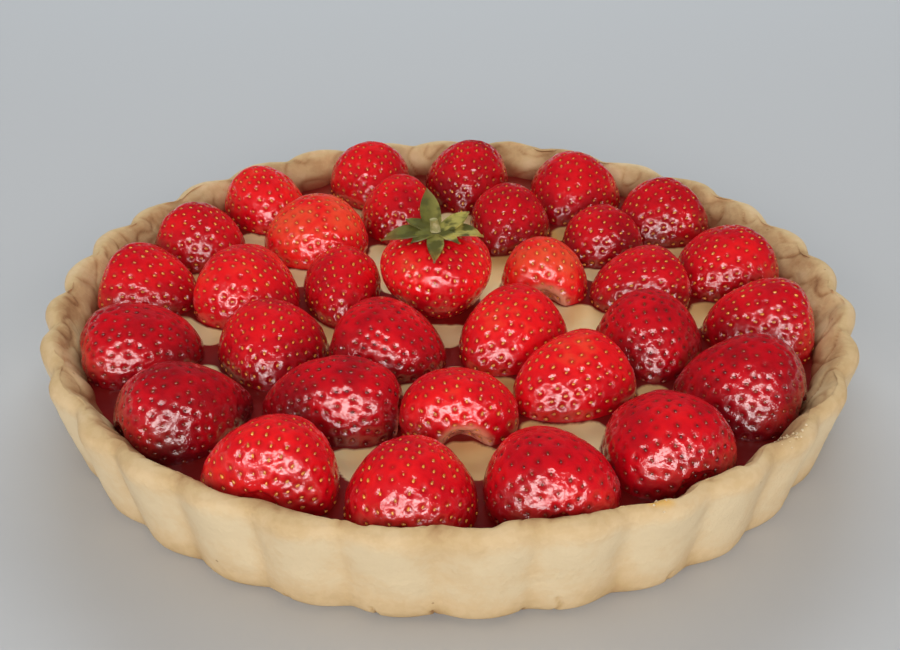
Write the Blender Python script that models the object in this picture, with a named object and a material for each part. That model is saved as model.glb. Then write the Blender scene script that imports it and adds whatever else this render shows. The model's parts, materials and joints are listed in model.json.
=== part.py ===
"""A strawberry tart: fluted shortcrust shell, custard, halved strawberries and a whole crown berry.

Units are metres, +Z is up, and the tart stands on Z = 0 with its axis on the Z axis. Angles go round
the tart from the front (-Y) towards +X. Every halved berry lies on its cut face on the custard.
"""

import math

import bmesh
import bpy
from mathutils import Matrix, Vector

MM = 0.001
CLEARANCE = 0.3 * MM  # left between pieces that touch

# Shell: a 24 cm tin with 31 flutes
RIM_RADIUS = 120.6 * MM
BASE_RADIUS = 112.4 * MM
SHELL_HEIGHT = 31.0 * MM
FOOT_ROUNDING = 1.6 * MM
FLOOR_THICKNESS = 5.0 * MM
LIP_WIDTH = 8.0 * MM
FLUTED_SHARE = 0.6  # of the lip's width, from the outside
FLUTES = 31
COLUMNS_PER_FLUTE = 6
FRONT_PHASE = 0.52  # turns of the flute pattern at the front: nearly a crease
PHASE_WANDER = (1, 0.75, 0.15)  # the flutes are a little wider on one side
FLUTE_DEPTH_RIM = 3.0 * MM
FLUTE_DEPTH_BASE = 2.2 * MM
INNER_WAVE = 1.3 * MM
RIM_WAVE = 0.9 * MM
# Slow unevenness of the hand-pressed dough: (waves round the tart, phase, share).
INNER_SLOW_WAVES = ((5, 0.9, 0.35), (11, 2.0, 0.35))
RIM_SLOW_WAVES = ((4, 1.0, 0.45), (9, 0.4, 0.35))
FRONT_LIFT = 0.9 * MM  # the rim stands highest at the front

# Custard
CUSTARD_TOP = 20.0 * MM
WELL_RADIUS = 111.6 * MM  # inside of the shell at the custard's surface
WELL_FLOOR_RADIUS = 108.0 * MM
CUSTARD_SEGMENTS = 93

# Halved berries: shape shared by all
BERRY_STEPS = 8  # around the half turn
HULL_SCOOP_RADIUS = 0.34  # share of the half width
# What the hull leaves is (radius of the hulled end, depth of the scoop), as shares of half width and length.
ROUND_END = (0.44, 0.03)
SCOOPED_END = (0.60, 0.20)
WIDEST_AT = 0.36  # share of the length, from the hulled end
BERRY_STATIONS = (0.00, 0.12, 0.36, 0.56, 0.73, 0.87, 0.96)
BERRY_TAPER = 1.8

# Each half berry is (place angle, place radius, width, length, height, turn, bluntness).
# Turn is how far the tip points away from the tart's axis, in degrees; sizes are in millimetres.
# Bluntness is the exponent of the taper: 0.5 is a round tip and 0.95 a sharp one.
OUTER_RING = (
    (-28, 93, 37, 30, 21, 15, 0.50),
    (-6, 89, 34, 41, 18, 0, 0.90),
    (16, 88, 34, 41, 19, -9, 0.80),
    (38, 88, 35, 40, 20, -14, 0.85),
    (60, 91, 34, 36, 20, 6, 0.60),
    (83, 91, 34, 32, 19, 5, 0.55),
    (107, 90, 34, 32, 18, 12, 0.55),
    (131, 93, 30, 30, 17, 0, 0.55),
    (153, 91, 34, 34, 17, 4, 0.70),
    (176, 91, 31, 34, 18, 0, 0.70),
    (-163, 94, 28, 31, 18, -4, 0.60),
    (-139, 94, 29, 29, 18, -4, 0.55),
    (-119, 92, 31, 30, 16, 0, 0.60),
    (-98, 93, 32, 30, 17, -4, 0.55),
    (-76, 91, 34, 35, 18, 0, 0.55),
    (-51, 90, 34, 38, 19, -10, 0.65),
)
MIDDLE_RING = (
    (-32, 62, 31, 38, 18, 118, 0.60),
    (2, 52, 32, 30, 16, 4, 0.60),
    (38, 53, 30, 34, 17, 90, 0.55),
    (71, 61, 32, 33, 17, 108, 0.60),
    (104, 59, 31, 29, 16, 12, 0.55),
    (133, 66, 27, 24, 16, 4, 0.60),
    (162, 60, 27, 31, 16, 0, 0.65),
    (-166, 64, 28, 27, 17, 4, 0.55),
    (-138, 63, 34, 31, 18, 0, 0.55),
    (-100, 61, 36, 31, 18, -12, 0.65),
    (-65, 58, 34, 31, 16, -121, 0.70),
)
INNER_RING = (
    (-37, 27, 33, 32, 17, -76, 0.50),
    (44, 23, 32, 33, 17, 97, 0.55),
    (128, 37, 28, 27, 17, -128, 0.55),
    (-107, 35, 24, 32, 16, -73, 0.55),
    (-173, 39, 20, 29, 15, 90, 0.60),
)

# Crown berry: whole, tip trimmed flat so that it stands, leaves on top
CROWN_PLACE = Vector((-4.0, 11.5, 0.0)) * MM
CROWN_STEPS = 14
CROWN_PROFILE = (  # radius and height above the custard, in millimetres, from the leaves down
    (0.0, 22.2),
    (4.5, 23.4),
    (9.5, 22.2),
    (14.0, 19.4),
    (16.6, 15.6),
    (17.0, 11.0),
    (15.2, 6.2),
    (12.6, 2.4),
    (10.6, 0.0),
    (0.0, 0.0),
)
LEAF_THICKNESS = 0.8 * MM
HUB_RADIUS = 4.0 * MM
LEAF_ROOT_ANGLE = 17  # degrees either side of a leaf's midrib, on the hub
STALK_RADIUS = 1.2 * MM
STALK_HEIGHT = 5.0 * MM
# Each leaf is (direction, length, half width, rise of its point), in degrees and millimetres.
LEAVES = (
    (-3, 15.0, 2.6, -2.8),
    (48, 9.0, 2.2, -0.8),
    (86, 14.5, 4.0, -0.8),
    (122, 12.5, 3.2, 3.0),
    (-165, 14.0, 3.2, 8.0),
    (-122, 10.5, 2.6, 1.6),
    (-84, 16.5, 4.2, -2.4),
    (-48, 9.0, 2.4, -0.8),
)
LEAF_MIDDLE = 0.48  # share of the length where a leaf is widest
LEAF_SHOULDER = 0.78
SHOULDER_WIDTH = 0.62  # share of the widest width
LEAF_ARCH = 0.8 * MM

SHORTCRUST = (0.70, 0.52, 0.29, 1.0)
CUSTARD = (0.66, 0.42, 0.17, 1.0)
STRAWBERRY = (0.55, 0.008, 0.012, 1.0)
LEAF_GREEN = (0.16, 0.20, 0.03, 1.0)


def clear_scene():
    for obj in list(bpy.data.objects):
        bpy.data.objects.remove(obj, do_unlink=True)


def make_material(name, colour, roughness, coat=0.0):
    material = bpy.data.materials.new(name)
    material.use_nodes = True
    shader = material.node_tree.nodes["Principled BSDF"]
    shader.inputs["Base Color"].default_value = colour
    shader.inputs["Roughness"].default_value = roughness
    shader.inputs["Metallic"].default_value = 0.0
    shader.inputs["Coat Weight"].default_value = coat
    return material


def make_object(name, bm, material, smooth_angle=50):
    """Turns a bmesh into a named, smooth-shaded object."""
    bmesh.ops.recalc_face_normals(bm, faces=bm.faces)
    mesh = bpy.data.meshes.new(name)
    bm.to_mesh(mesh)
    bm.free()
    mesh.materials.append(material)
    mesh.shade_smooth()
    mesh.set_sharp_from_angle(angle=math.radians(smooth_angle))
    obj = bpy.data.objects.new(name, mesh)
    bpy.context.scene.collection.objects.link(obj)
    return obj


def profile_edges(bm, points):
    """An open chain of edges through (radius, height) points in the XZ plane."""
    verts = [bm.verts.new((radius, 0.0, height)) for radius, height in points]
    return verts, [bm.edges.new(pair) for pair in zip(verts, verts[1:])]


def spin_profile(bm, points, axis, turn, steps):
    verts, edges = profile_edges(bm, points)
    bmesh.ops.spin(
        bm,
        geom=verts + edges,
        cent=(0.0, 0.0, 0.0),
        axis=axis,
        angle=turn,
        steps=steps,
        use_merge=False,
        use_duplicate=False,
    )
    bmesh.ops.remove_doubles(bm, verts=bm.verts, dist=0.001 * MM)


# Shell


def angle_from_front(point):
    return math.atan2(point.x, -point.y)


def waves(angle, *terms):
    """Sum of sine waves round the tart, each (count, phase, height)."""
    return sum(height * math.sin(count * angle + phase) for count, phase, height in terms)


def flute_phase(angle):
    """Turns of the flute pattern at this angle; the pitch is slightly uneven, as in a worn tin."""
    return FLUTES * angle / math.tau + FRONT_PHASE + waves(angle, PHASE_WANDER)


def flute_lobe(angle):
    """1 on the crest of a flute and 0 in the crease between two."""
    return abs(math.cos(math.pi * flute_phase(angle)))


def rim_lift(angle):
    """Hand-pressed height of the rim against its plain height."""
    pressed = 0.7 * flute_lobe(angle) - 0.6 + waves(angle, *RIM_SLOW_WAVES)
    return RIM_WAVE * pressed + FRONT_LIFT * math.cos(angle)


def shape_shell_vertex(vert):
    """Flutes on the outside, soft waves on the inner lip, an uneven rim; the well stays round."""
    radius = math.hypot(vert.co.x, vert.co.y)
    if radius < WELL_FLOOR_RADIUS / 2:
        return
    angle = angle_from_front(vert.co)
    up = vert.co.z / SHELL_HEIGHT
    above_custard = max(0.0, (vert.co.z - CUSTARD_TOP) / (SHELL_HEIGHT - CUSTARD_TOP))
    outer_here = BASE_RADIUS + (RIM_RADIUS - BASE_RADIUS) * up
    if radius > outer_here - FLUTED_SHARE * LIP_WIDTH:
        depth = FLUTE_DEPTH_BASE + (FLUTE_DEPTH_RIM - FLUTE_DEPTH_BASE) * up
        radius -= depth * (1 - flute_lobe(angle))
    else:
        pressed = 1.4 * flute_lobe(angle) - 0.9 + waves(angle, *INNER_SLOW_WAVES)
        radius += INNER_WAVE * above_custard * pressed
    vert.co.x = radius * math.sin(angle)
    vert.co.y = -radius * math.cos(angle)
    vert.co.z += above_custard**2 * rim_lift(angle)


def make_crust(material):
    lip_inner = RIM_RADIUS - LIP_WIDTH
    profile = (
        (0.0, 0.0),
        (BASE_RADIUS - FOOT_ROUNDING, 0.0),
        (BASE_RADIUS + 0.4 * MM, FOOT_ROUNDING),
        (BASE_RADIUS + 0.48 * (RIM_RADIUS - BASE_RADIUS), 0.48 * SHELL_HEIGHT),
        (RIM_RADIUS - 0.6 * MM, 0.90 * SHELL_HEIGHT),
        (RIM_RADIUS - 1.6 * MM, 0.98 * SHELL_HEIGHT),
        (lip_inner + 1.6 * MM, SHELL_HEIGHT),
        (lip_inner, 0.93 * SHELL_HEIGHT),
        (lip_inner - 1.4 * MM, 0.80 * SHELL_HEIGHT),
        (WELL_RADIUS, CUSTARD_TOP),
        (WELL_FLOOR_RADIUS, FLOOR_THICKNESS),
        (0.0, FLOOR_THICKNESS),
    )
    bm = bmesh.new()
    spin_profile(bm, profile, (0, 0, 1), math.tau, FLUTES * COLUMNS_PER_FLUTE)
    for vert in bm.verts:
        shape_shell_vertex(vert)
    return make_object("crust", bm, material, smooth_angle=70)


def make_custard(material):
    """Fills the well of the shell up to the berries."""
    bm = bmesh.new()
    bottom = FLOOR_THICKNESS + CLEARANCE
    slope = (WELL_RADIUS - WELL_FLOOR_RADIUS) / (CUSTARD_TOP - FLOOR_THICKNESS)
    profile = (
        (0.0, bottom),
        (WELL_FLOOR_RADIUS + slope * CLEARANCE - CLEARANCE, bottom),
        (WELL_RADIUS - CLEARANCE, CUSTARD_TOP),
        (0.0, CUSTARD_TOP),
    )
    spin_profile(bm, profile, (0, 0, 1), math.tau, CUSTARD_SEGMENTS)
    return make_object("custard", bm, material, smooth_angle=40)


# Halved berries


def berry_girth(along, bluntness, end_radius):
    """Share of the half width at this share of the length, from the hulled end to the tip."""
    if along < WIDEST_AT:
        rise = 1 - (1 - along / WIDEST_AT) ** 2
        return end_radius + (1 - end_radius) * math.sqrt(rise)
    fall = (along - WIDEST_AT) / (1 - WIDEST_AT)
    return (1 - fall**BERRY_TAPER) ** bluntness


def half_berry_profile(length, bluntness, hull):
    """(radius share, distance along the axis) from the bottom of the hull scoop to the tip."""
    end_radius, scoop = hull
    points = [(0.0, scoop * length), (HULL_SCOOP_RADIUS, 0.015 * length)]
    points += [(berry_girth(along, bluntness, end_radius), along * length) for along in BERRY_STATIONS]
    return points + [(0.0, length)]


def grow_unevenly(vert, length, seed):
    """Ribs, a swollen side and a bent tip, so that no two berries are alike. The cut face stays flat."""
    along = vert.co.x / length + 0.5
    around = math.atan2(vert.co.z, vert.co.y)
    swell = 1 + 0.035 * math.sin(3 * around + 1.7 * seed) + 0.03 * math.sin(5 * along + 2.3 * seed)
    vert.co.y = vert.co.y * swell + 0.05 * length * math.sin(2.9 * seed) * along**2
    vert.co.z *= swell


def make_half_berry(name, place, hull, material, seed):
    angle, radius, width, length, height, turn, bluntness = place
    width, length, height, radius = width * MM, length * MM, height * MM, radius * MM
    bm = bmesh.new()
    spin_profile(bm, half_berry_profile(length, bluntness, hull), (0, 0, 1), math.pi, BERRY_STEPS)
    rim = [edge for edge in bm.edges if edge.is_boundary]
    bmesh.ops.edgeloop_fill(bm, edges=rim)
    # Spun about Z with the cut face on the XZ plane: lay the axis along X and the cut face down.
    lay_down = Matrix(((0, 0, 1), (1, 0, 0), (0, 1, 0))).to_4x4()
    stretch = Matrix.Diagonal((1.0, width / 2, height, 1.0))
    centre = Matrix.Translation((-length / 2, 0.0, 0.0))
    bmesh.ops.transform(bm, matrix=centre @ stretch @ lay_down, verts=bm.verts)
    for vert in bm.verts:
        grow_unevenly(vert, length, seed)
    # The tip points to the tart's axis, and the turn swings it away.
    heading = math.radians(angle + 90 + turn)
    spot = Vector((radius * math.sin(math.radians(angle)), -radius * math.cos(math.radians(angle)), 0))
    spot.z = CUSTARD_TOP + CLEARANCE
    bmesh.ops.transform(
        bm, matrix=Matrix.Translation(spot) @ Matrix.Rotation(heading, 4, "Z"), verts=bm.verts
    )
    return make_object(name, bm, material)


def make_ring(name, places, hull, material, first_seed):
    for number, place in enumerate(places, start=1):
        make_half_berry(f"{name}_{number:02d}", place, hull, material, first_seed + number)


# Crown berry and its leaves


def make_crown_berry(material):
    bm = bmesh.new()
    profile = [(radius * MM, height * MM) for radius, height in CROWN_PROFILE]
    spin_profile(bm, profile, (0, 0, 1), math.tau, CROWN_STEPS)
    for vert in bm.verts:
        ribs = 1 + 0.025 * math.sin(3 * angle_from_front(vert.co) + 0.8)
        vert.co.x *= ribs
        vert.co.y *= ribs
    spot = CROWN_PLACE + Vector((0, 0, CUSTARD_TOP + CLEARANCE))
    bmesh.ops.translate(bm, vec=spot, verts=bm.verts)
    return make_object("berry_crown", bm, material)


def leaf_point(direction, distance, side, length, rise):
    """A point of a leaf: side is its distance from the midrib."""
    heading = math.radians(direction)
    outward = Vector((math.sin(heading), -math.cos(heading), 0))
    across = Vector((-outward.y, outward.x, 0))
    share = distance / length
    lift = rise * share**1.6 + LEAF_ARCH * math.sin(math.pi * share)
    return outward * distance + across * side + Vector((0, 0, lift))


def add_leaf(bm, hub_pair, direction, length, half_width, rise):
    """One pointed leaf on a pair of the hub's rim vertices, as two strips."""
    sides = []
    for along, width_share in ((LEAF_MIDDLE, 1.0), (LEAF_SHOULDER, SHOULDER_WIDTH)):
        reach = width_share * half_width
        pair = [leaf_point(direction, along * length, side * reach, length, rise) for side in (-1, 1)]
        sides.append([bm.verts.new(point) for point in pair])
    tip = bm.verts.new(leaf_point(direction, length, 0.0, length, rise))
    low, high = sides
    bm.faces.new((hub_pair[0], low[0], low[1], hub_pair[1]))
    bm.faces.new((low[0], high[0], high[1], low[1]))
    bm.faces.new((high[0], tip, high[1]))


def make_leaf_rosette(bm):
    """Hub and leaves as one sheet, given its thickness afterwards."""
    rim = []
    for direction, _, _, _ in LEAVES:
        for offset in (-LEAF_ROOT_ANGLE, LEAF_ROOT_ANGLE):
            heading = math.radians(direction + offset)
            rim.append(bm.verts.new((HUB_RADIUS * math.sin(heading), -HUB_RADIUS * math.cos(heading), 0)))
    centre = bm.verts.new((0, 0, 0.4 * MM))
    for first, second in zip(rim, rim[1:] + rim[:1]):
        bm.faces.new((centre, second, first))
    for number, (direction, length, half_width, rise) in enumerate(LEAVES):
        hub_pair = rim[2 * number : 2 * number + 2]
        add_leaf(bm, hub_pair, direction, length * MM, half_width * MM, rise * MM)
    bmesh.ops.recalc_face_normals(bm, faces=bm.faces)
    if sum(face.normal.z for face in bm.faces) < 0:
        bmesh.ops.reverse_faces(bm, faces=bm.faces)
    bmesh.ops.solidify(bm, geom=bm.faces, thickness=-LEAF_THICKNESS)


def make_calyx(material):
    base = CROWN_PLACE + Vector((0, 0, CUSTARD_TOP + CROWN_PROFILE[1][1] * MM + 2 * CLEARANCE))
    bm = bmesh.new()
    make_leaf_rosette(bm)
    bmesh.ops.translate(bm, vec=base, verts=bm.verts)
    leaves = make_object("calyx", bm, material)

    stalk_bm = bmesh.new()
    bmesh.ops.create_cone(
        stalk_bm,
        cap_ends=True,
        segments=8,
        radius1=1.3 * STALK_RADIUS,
        radius2=STALK_RADIUS,
        depth=STALK_HEIGHT,
    )
    stalk_place = base + Vector((0, 0, STALK_HEIGHT / 2 + 0.3 * MM))
    bmesh.ops.translate(stalk_bm, vec=stalk_place, verts=stalk_bm.verts)
    stalk = make_object("calyx_stalk", stalk_bm, material)
    stalk.hide_render = True
    stalk.display_type = "WIRE"

    joined = leaves.modifiers.new("Stalk", "BOOLEAN")
    joined.operation = "UNION"
    joined.solver = "EXACT"
    joined.object = stalk
    return leaves


def main():
    clear_scene()
    shortcrust = make_material("shortcrust", SHORTCRUST, 0.85)
    custard = make_material("custard", CUSTARD, 0.45)
    strawberry = make_material("glazed_strawberry", STRAWBERRY, 0.25, coat=0.6)
    leaf = make_material("leaf", LEAF_GREEN, 0.6)

    make_crust(shortcrust)
    make_custard(custard)
    make_ring("berry_outer", OUTER_RING, ROUND_END, strawberry, first_seed=0)
    make_ring("berry_middle", MIDDLE_RING, SCOOPED_END, strawberry, first_seed=20)
    make_ring("berry_inner", INNER_RING, SCOOPED_END, strawberry, first_seed=40)
    make_crown_berry(strawberry)
    make_calyx(leaf)


main()
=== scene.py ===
# %% [markdown]
# # A strawberry tart
# This lesson dresses a strawberry tart. The construction model comes first: it gives the size and the
# place of every piece. Each step below makes one finished piece around it, or one finish for it.

import json
import math

import bmesh
import bpy
import numpy as np
from mathutils import Matrix, Vector, noise
from mathutils.bvhtree import BVHTree
from mathutils.kdtree import KDTree

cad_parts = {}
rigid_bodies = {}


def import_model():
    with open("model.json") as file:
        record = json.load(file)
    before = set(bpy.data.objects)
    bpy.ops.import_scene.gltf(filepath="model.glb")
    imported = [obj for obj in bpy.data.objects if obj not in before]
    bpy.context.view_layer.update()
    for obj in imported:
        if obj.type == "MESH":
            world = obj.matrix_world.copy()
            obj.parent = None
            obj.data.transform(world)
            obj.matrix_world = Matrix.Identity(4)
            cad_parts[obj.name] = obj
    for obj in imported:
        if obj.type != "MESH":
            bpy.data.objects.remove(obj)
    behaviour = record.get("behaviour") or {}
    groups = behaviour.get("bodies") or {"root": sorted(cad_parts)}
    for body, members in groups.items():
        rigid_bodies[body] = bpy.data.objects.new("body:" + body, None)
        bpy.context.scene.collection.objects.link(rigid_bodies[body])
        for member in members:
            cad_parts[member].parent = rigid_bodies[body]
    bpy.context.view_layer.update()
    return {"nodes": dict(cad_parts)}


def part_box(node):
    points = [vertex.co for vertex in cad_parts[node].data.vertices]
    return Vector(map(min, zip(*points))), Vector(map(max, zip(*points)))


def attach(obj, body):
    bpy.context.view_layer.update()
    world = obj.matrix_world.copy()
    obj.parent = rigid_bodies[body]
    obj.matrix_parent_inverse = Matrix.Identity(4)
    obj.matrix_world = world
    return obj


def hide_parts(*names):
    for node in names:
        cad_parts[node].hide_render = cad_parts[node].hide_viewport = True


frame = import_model()
MM = 0.001

# %% [markdown]
# ## Measures
# A maker works from a few sizes. The tin sets the rim, the foot and the height of the shell, and the
# custard fills it to a level. All of these are read from the construction model, so the finished pieces
# fit it.

# %% Measures of the tart
crust_low, crust_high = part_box("crust")
custard_low, custard_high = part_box("custard")
SHELL_HEIGHT = crust_high.z - 1.7 * MM  # the rim is uneven: its plain height is under its highest spot
RIM_RADIUS = (crust_high.x - crust_low.x) / 2 + 0.9 * MM
BASE_RADIUS = RIM_RADIUS - 8.2 * MM
CUSTARD_TOP = custard_high.z
WELL_RADIUS = (custard_high.x - custard_low.x) / 2 + 0.3 * MM
WELL_FLOOR_RADIUS = WELL_RADIUS - 3.6 * MM
FLOOR_THICKNESS = custard_low.z - 0.3 * MM
BERRIES = sorted(name for name in frame["nodes"] if name.startswith("berry_"))
print(f"shell {SHELL_HEIGHT / MM:.1f} mm high, rim radius {RIM_RADIUS / MM:.1f} mm")
print(len(BERRIES), "berries")

# %% [markdown]
# ## Camera
# Food is often looked at from a chair: about thirty degrees above the table, and near enough for the
# front berries to look larger than the back ones. The camera stands there and looks at a spot just behind
# the middle of the tart.

# %% Camera
EYE_DISTANCE = 382.9 * MM  # in front of the tart's axis
EYE_HEIGHT = 240.4 * MM
LOOK_DOWN = math.radians(30.04)
LENS = 58.3  # for a sensor 36 mm wide

camera_data = bpy.data.cameras.new("table_camera")
camera_data.lens = LENS
camera_data.sensor_width = 36.0
camera = bpy.data.objects.new("table_camera", camera_data)
camera.location = (0.0, -EYE_DISTANCE, EYE_HEIGHT)
camera.rotation_euler = (math.radians(90) - LOOK_DOWN, 0.0, 0.0)
bpy.context.scene.collection.objects.link(camera)
bpy.context.scene.camera = camera

# %% [markdown]
# ## Helpers for node materials
# A material is a small graph of nodes. `place` adds a node and fills its inputs: a plain value is typed
# in, and an output of another node is linked. With it, a material reads almost like a recipe.

# %% Helpers for materials
def place(tree, kind, settings=None, **inputs):
    made = tree.nodes.new(kind)
    for name, value in (settings or {}).items():
        setattr(made, name, value)
    for name, value in inputs.items():
        fill(tree, made.inputs[name.replace("_", " ")], value)
    return made


def fill(tree, socket, value):
    """Types a value into a socket, or links an output to it."""
    if isinstance(value, bpy.types.NodeSocket):
        tree.links.new(value, socket)
    else:
        socket.default_value = value


def calculate(tree, operation, *values):
    made = place(tree, "ShaderNodeMath", {"operation": operation})
    for socket, value in zip(made.inputs, values):
        fill(tree, socket, value)
    return made.outputs[0]


def mix_colours(tree, share, first, second):
    """The first colour where share is 0, and the second where it is 1."""
    made = place(tree, "ShaderNodeMix", {"data_type": "RGBA"})
    fill(tree, made.inputs[0], share)
    fill(tree, made.inputs[6], first)
    fill(tree, made.inputs[7], second)
    return made.outputs[2]


def colour_ramp(tree, value, stops):
    """Colours along a scale from 0 to 1: stops are (place, colour)."""
    made = place(tree, "ShaderNodeValToRGB", Fac=value)
    ramp = made.color_ramp
    ramp.elements[0].position, ramp.elements[0].color = stops[0]
    ramp.elements[1].position, ramp.elements[1].color = stops[-1]
    for position, colour in stops[1:-1]:
        ramp.elements.new(position).color = colour
    return made.outputs["Color"]


def painted(tree, name):
    """A number that is stored on the piece's own points."""
    return place(tree, "ShaderNodeAttribute", {"attribute_name": name}).outputs["Fac"]


def object_spot(tree):
    """The place of each point on its piece, in metres."""
    return place(tree, "ShaderNodeTexCoord").outputs["Object"]


def new_material(name, **inputs):
    material = bpy.data.materials.new(name)
    material.use_nodes = True
    shader = material.node_tree.nodes["Principled BSDF"]
    for socket, value in inputs.items():
        shader.inputs[socket.replace("_", " ")].default_value = value
    return material, material.node_tree, shader


def rgb(red, green, blue):
    return (red, green, blue, 1.0)

# %% [markdown]
# ## Two effects that several materials share
# Dough, custard and leaves all have a fine grain, and all are uneven in colour over a centimetre or two.
# Each effect is a node group, made once and used with different numbers. `Grain` gives a height for a
# Bump node and `Patches` gives a soft mask. `mottle` centres that mask on zero, to make a colour a little
# uneven.

# %% Shared node groups
def new_group(name, numbers, output):
    group = bpy.data.node_groups.new(name, "ShaderNodeTree")
    group.interface.new_socket("Vector", in_out="INPUT", socket_type="NodeSocketVector")
    for number in numbers:
        group.interface.new_socket(number, in_out="INPUT", socket_type="NodeSocketFloat")
    group.interface.new_socket(output, in_out="OUTPUT", socket_type="NodeSocketFloat")
    return group, group.nodes.new("NodeGroupInput"), group.nodes.new("NodeGroupOutput")


def noise_value(tree, vector, scale, detail=2.0):
    made = place(tree, "ShaderNodeTexNoise", Vector=vector, Scale=scale)
    made.inputs["Detail"].default_value = detail
    return made.outputs["Fac"]


COARSER = 0.22  # scale of the coarse part of a grain, as a share of the fine part's
grain_group, entry, leave = new_group("Grain", ("Scale", "Coarse share"), "Height")
fine = noise_value(grain_group, entry.outputs["Vector"], entry.outputs["Scale"], detail=3.0)
wide_scale = calculate(grain_group, "MULTIPLY", entry.outputs["Scale"], COARSER)
wide = noise_value(grain_group, entry.outputs["Vector"], wide_scale)
wide_part = calculate(grain_group, "MULTIPLY", wide, entry.outputs["Coarse share"])
grain_group.links.new(calculate(grain_group, "ADD", fine, wide_part), leave.inputs["Height"])

patch_group, entry, leave = new_group("Patches", ("Scale", "Low", "High"), "Mask")
soft = place(
    patch_group,
    "ShaderNodeMapRange",
    {"interpolation_type": "SMOOTHSTEP"},
    Value=noise_value(patch_group, entry.outputs["Vector"], entry.outputs["Scale"]),
    From_Min=entry.outputs["Low"],
    From_Max=entry.outputs["High"],
)
patch_group.links.new(soft.outputs["Result"], leave.inputs["Mask"])


def grain(tree, vector, scale, coarse=0.6):
    made = place(tree, "ShaderNodeGroup", {"node_tree": grain_group}, Vector=vector, Scale=scale)
    made.inputs["Coarse share"].default_value = coarse
    return made.outputs["Height"]


def patches(tree, vector, scale, low=0.4, high=0.6):
    made = place(tree, "ShaderNodeGroup", {"node_tree": patch_group}, Vector=vector, Scale=scale)
    made.inputs["Low"].default_value = low
    made.inputs["High"].default_value = high
    return made.outputs["Mask"]


def mottle(tree, vector, scale, amount, low=0.4, high=0.6):
    """Soft patches that swing from -amount / 2 to amount / 2."""
    centred = calculate(tree, "SUBTRACT", patches(tree, vector, scale, low, high), 0.5)
    return calculate(tree, "MULTIPLY", centred, amount)


def bump(tree, shader, height, strength, depth, layer="Normal"):
    """Feeds a height, in metres when multiplied by depth, to the shader's normal or to its coat's."""
    made = place(tree, "ShaderNodeBump", Height=height, Strength=strength, Distance=depth)
    tree.links.new(made.outputs["Normal"], shader.inputs[layer])


print("groups:", [group.name for group in bpy.data.node_groups])

# %% [markdown]
# ## Helpers for pieces
# Every finished piece is a mesh whose object sits at the origin. `finish_piece` gives a mesh its
# material, shades it smooth, makes it an object, and hides the construction node it stands for. Round
# pieces start as a profile that is spun round the tart's axis. Numbers painted on the points, such as how
# brown the crust is and where shade is painted on it, are stored as attributes for the material to read.

# %% Helpers for pieces
def finish_piece(name, mesh, material, replaced=(), sharp_angle=60):
    mesh.materials.clear()
    mesh.materials.append(material)
    mesh.shade_smooth()
    mesh.set_sharp_from_angle(angle=math.radians(sharp_angle))
    piece = bpy.data.objects.new(name, mesh)
    bpy.context.scene.collection.objects.link(piece)
    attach(piece, "root")
    if replaced:
        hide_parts(*replaced)
    return piece


def mesh_from(bm, name):
    mesh = bpy.data.meshes.new(name)
    bm.to_mesh(mesh)
    bm.free()
    return mesh


def spin_profile(name, profile, steps):
    """A skin from a profile of (radius, height) points, spun round the tart's axis."""
    bm = bmesh.new()
    verts = [bm.verts.new((radius, 0.0, height)) for radius, height in profile]
    line = [bm.edges.new(pair) for pair in zip(verts, verts[1:])]
    bmesh.ops.spin(
        bm,
        geom=verts + line,
        cent=(0.0, 0.0, 0.0),
        axis=(0.0, 0.0, 1.0),
        angle=math.tau,
        steps=steps,
        use_merge=True,
        use_duplicate=False,
    )
    bmesh.ops.remove_doubles(bm, verts=bm.verts, dist=0.001 * MM)
    bmesh.ops.recalc_face_normals(bm, faces=bm.faces)
    return mesh_from(bm, name)


def paint(mesh, name, values):
    """Stores one number on each point."""
    layer = mesh.attributes.new(name, "FLOAT", "POINT")
    layer.data.foreach_set("value", np.asarray(values, np.float32))


def points_of(mesh):
    points = np.empty(len(mesh.vertices) * 3, np.float32)
    mesh.vertices.foreach_get("co", points)
    return points.reshape(-1, 3).astype(float)


def normals_of(mesh):
    normals = np.empty(len(mesh.vertices) * 3, np.float32)
    mesh.vertex_normals.foreach_get("vector", normals)
    return normals.reshape(-1, 3).astype(float)


def move_points(mesh, points):
    mesh.vertices.foreach_set("co", np.asarray(points, np.float32).ravel())
    mesh.update()


def distance_to(targets, points):
    """How far each point is from the nearest target."""
    tree = KDTree(len(targets))
    for index, target in enumerate(targets):
        tree.insert(target, index)
    tree.balance()
    return np.array([tree.find(point)[2] for point in points])


def smooth_step(value, low, high):
    """0 up to low, 1 from high, and a soft climb between."""
    share = np.clip((value - low) / (high - low), 0.0, 1.0)
    return share * share * (3 - 2 * share)


def rough_noise(points, scale, seed=0.0):
    """Noise between about -1 and 1 at each point; scale is the size of its lumps in metres."""
    shift = Vector((seed * 7.13, seed * 3.71, seed * 5.37))
    return np.array([noise.noise(Vector(point) / scale + shift) for point in points])

# %% [markdown]
# ## The shell's shape
# A fluted tin presses scallops into the dough: round crests outside with a crease between two. The rim is
# cut by hand, so it rises a little on each crest and dips at each crease, and inside it the fingers leave
# shallow pockets. The shell starts as one profile, spun round the axis. Then every ring of points is
# pushed in and out by a rule of the angle.

# %% Profile of the shell
FLUTES = 31
COLUMNS_PER_FLUTE = 36
LIP_WIDTH = 8.0 * MM
FLUTE_DEPTH_RIM = 3.0 * MM
FLUTE_DEPTH_BASE = 2.2 * MM
SAG = 4.5 * MM  # the wall leans in where it meets the custard
CREASE_SOFTNESS = 0.22
INNER_WAVE = 1.2 * MM
RIM_WAVE = 0.9 * MM
FRONT_LIFT = 0.9 * MM  # the rim stands highest at the front
DENT_WIDTH = 0.9 * MM
DENT_DEPTH = 0.9 * MM
ROW_SPACING = 0.75 * MM
FRONT_PHASE = 0.52  # turns of the flute pattern at the front
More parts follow.
